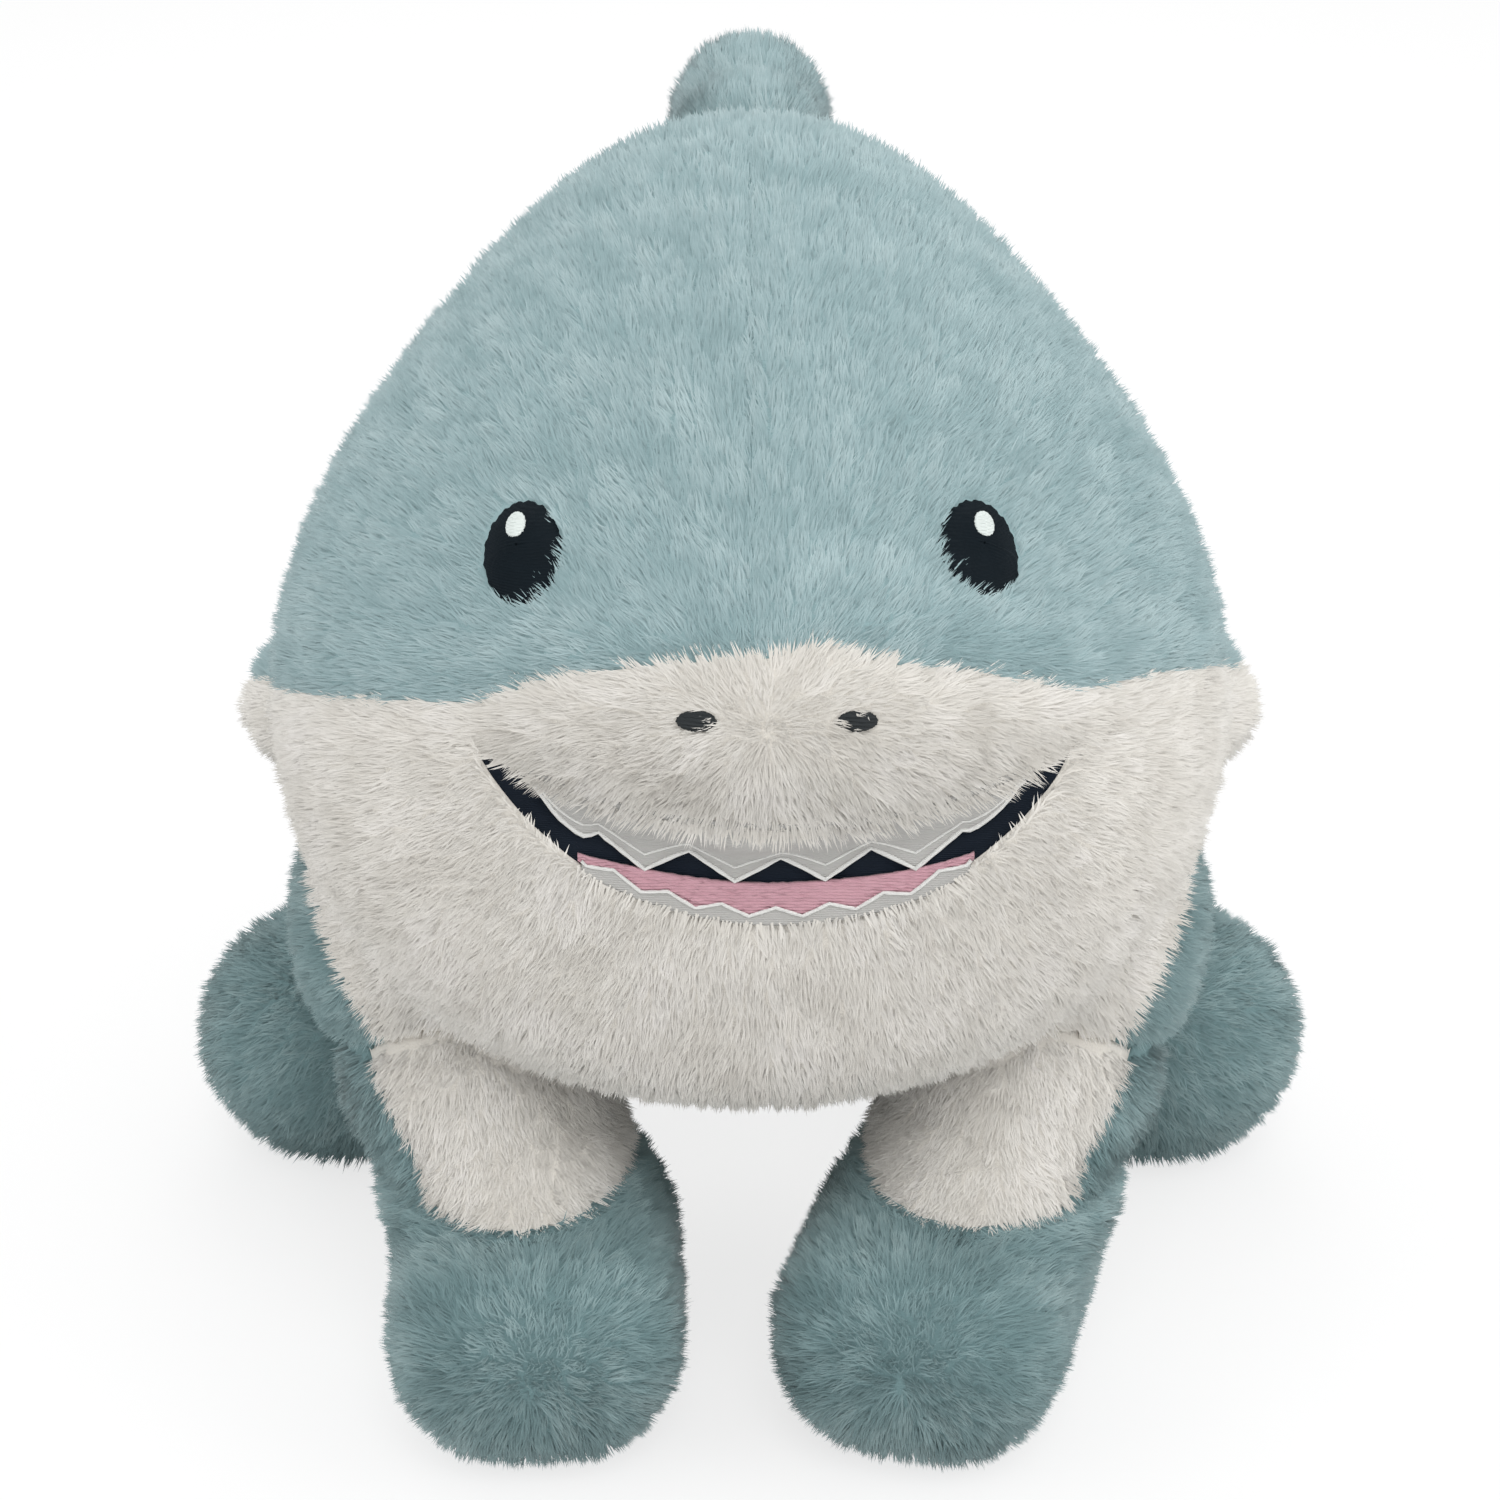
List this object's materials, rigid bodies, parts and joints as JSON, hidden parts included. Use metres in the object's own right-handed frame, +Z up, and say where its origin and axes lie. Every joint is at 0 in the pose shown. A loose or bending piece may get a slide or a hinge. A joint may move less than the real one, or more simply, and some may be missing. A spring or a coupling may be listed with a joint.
{
  "type": "plush shark",
  "caption": "Stuffed grey-blue and white plush shark on four legs, with a smiling open mouth, embroidered eyes, back fin and tail.",
  "frame": {"origin": "on the floor, under the middle of the box that the toy fills", "axes": "+Z up; the shark faces -Y; +X is on the right as seen from the front"},
  "size_m": [0.328, 0.3703, 0.309],
  "materials": {
    "plush_blue": "long soft pile, grey-blue",
    "plush_white": "long soft pile, warm white",
    "satin_navy": "dark navy satin and satin stitch",
    "satin_grey": "grey satin with silvery edge stitching",
    "satin_white": "white satin stitch",
    "terry_pink": "pink looped pile",
    "stuffing": "white polyester fibre"
  },
  "bodies": {
    "trunk": {"belly_panel": "plush_white", "body_stuffing": "stuffing", "chin_panel": "plush_white", "eye_glint_left": "satin_white", "eye_glint_right": "satin_white", "eye_left": "satin_navy", "eye_right": "satin_navy", "lower_teeth": "satin_grey", "mouth_lining": "satin_navy", "muzzle_panel": "plush_white", "nostril_left": "satin_navy", "nostril_right": "satin_navy", "side_panel_left": "plush_white", "side_panel_right": "plush_white", "tongue": "terry_pink", "top_panel_left": "plush_blue", "top_panel_right": "plush_blue", "upper_teeth": "satin_grey"},
    "front_leg_left": {"front_leg_face_left": "plush_white", "front_leg_side_left": "plush_blue", "front_leg_stuffing_left": "stuffing", "front_paw_left": "plush_blue", "front_sole_left": "plush_blue"},
    "front_leg_right": {"front_leg_face_right": "plush_white", "front_leg_side_right": "plush_blue", "front_leg_stuffing_right": "stuffing", "front_paw_right": "plush_blue", "front_sole_right": "plush_blue"},
    "rear_leg_left": {"rear_foot_left": "plush_blue", "rear_leg_stuffing_left": "stuffing", "rear_sole_left": "plush_blue", "rear_thigh_left": "plush_blue"},
    "rear_leg_right": {"rear_foot_right": "plush_blue", "rear_leg_stuffing_right": "stuffing", "rear_sole_right": "plush_blue", "rear_thigh_right": "plush_blue"},
    "back_fin": {"back_fin_left": "plush_blue", "back_fin_right": "plush_blue", "back_fin_stuffing": "stuffing"},
    "tail": {"tail_lobes_left": "plush_blue", "tail_lobes_right": "plush_blue", "tail_stalk_left": "plush_blue", "tail_stalk_right": "plush_blue", "tail_stuffing": "stuffing"}
  },
  "joints": [
    {"name": "front_left_hip", "type": "hinge", "parent": "trunk", "child": "front_leg_left", "pos_m": [-0.07, -0.1, 0.08], "axis": [1, 0, 0], "range_deg": [-20, 10], "stiffness_Nm_per_rad": 3},
    {"name": "front_right_hip", "type": "hinge", "parent": "trunk", "child": "front_leg_right", "pos_m": [0.07, -0.1, 0.08], "axis": [1, 0, 0], "range_deg": [-20, 10], "stiffness_Nm_per_rad": 3},
    {"name": "rear_left_hip", "type": "hinge", "parent": "trunk", "child": "rear_leg_left", "pos_m": [-0.062, -0.005, 0.118], "axis": [0, 0, 1], "range_deg": [-16, 5], "stiffness_Nm_per_rad": 3},
    {"name": "rear_right_hip", "type": "hinge", "parent": "trunk", "child": "rear_leg_right", "pos_m": [0.062, -0.005, 0.118], "axis": [0, 0, 1], "range_deg": [-5, 16], "stiffness_Nm_per_rad": 3},
    {"name": "fin_flex", "type": "hinge", "parent": "trunk", "child": "back_fin", "pos_m": [0, 0.078, 0.271], "axis": [0, 0.766, -0.6428], "range_deg": [-15, 15], "stiffness_Nm_per_rad": 0.4},
    {"name": "tail_swing", "type": "hinge", "parent": "trunk", "child": "tail", "pos_m": [0, 0.112, 0.198], "axis": [0, 0, 1], "range_deg": [-20, 20], "stiffness_Nm_per_rad": 0.8}
  ]
}
